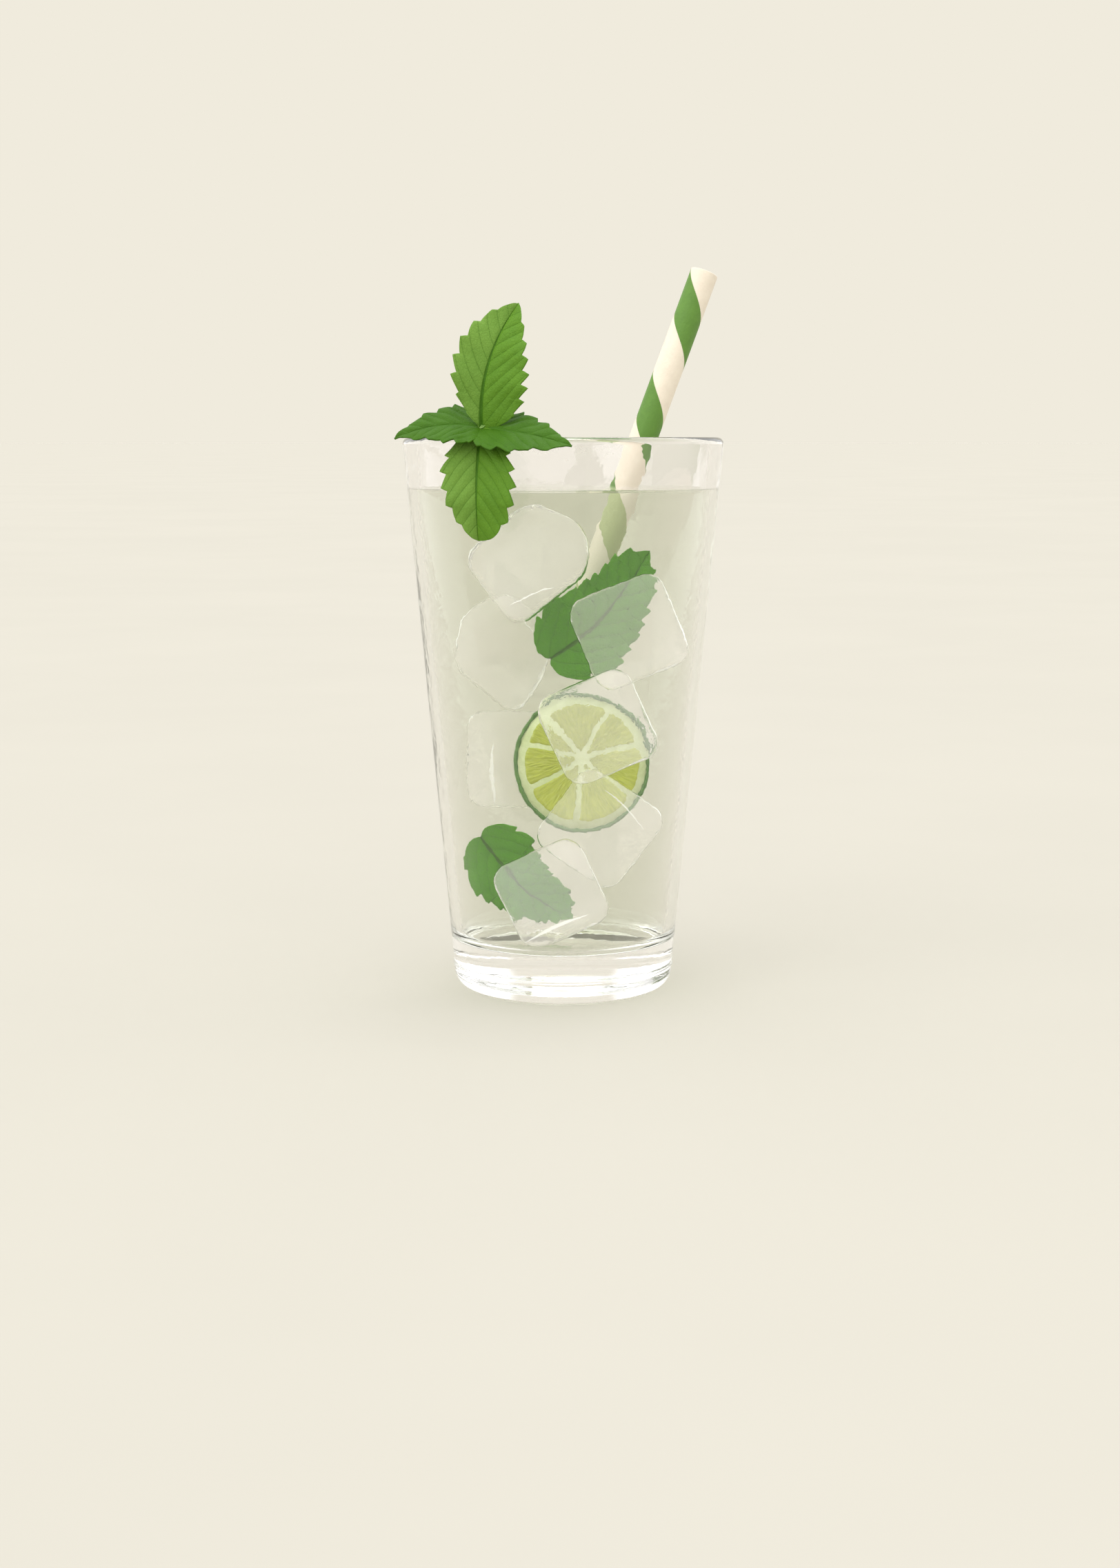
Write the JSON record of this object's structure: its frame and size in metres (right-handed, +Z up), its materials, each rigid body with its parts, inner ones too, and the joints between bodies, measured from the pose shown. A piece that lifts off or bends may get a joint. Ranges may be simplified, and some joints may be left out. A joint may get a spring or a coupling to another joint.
{
  "type": "mojito cocktail",
  "caption": "Mojito in a tall tapered glass with a thick base, filled below the rim, with a slanting striped paper straw and a mint sprig hung over the rim.",
  "frame": {"origin": "middle of the flat underside of the glass", "axes": "+Z up the glass's axis, -Y to the side that is seen first, +X to the side that the straw leans to"},
  "size_m": [0.0862, 0.0941, 0.1969],
  "materials": {
    "clear_glass": "clear, polished",
    "drink": "pale lime water, slightly cloudy",
    "ice": "wet, half clear, with fine cracks",
    "straw_paper": "cream paper with a green spiral stripe",
    "mint_leaf": "soft satin leaf with veins",
    "lime_slice": "wet cut citrus, dark green rind"
  },
  "bodies": {
    "root": {"glass": "clear_glass", "drink": "drink", "straw": "straw_paper", "mint_sprig": "mint_leaf"}
  },
  "joints": []
}
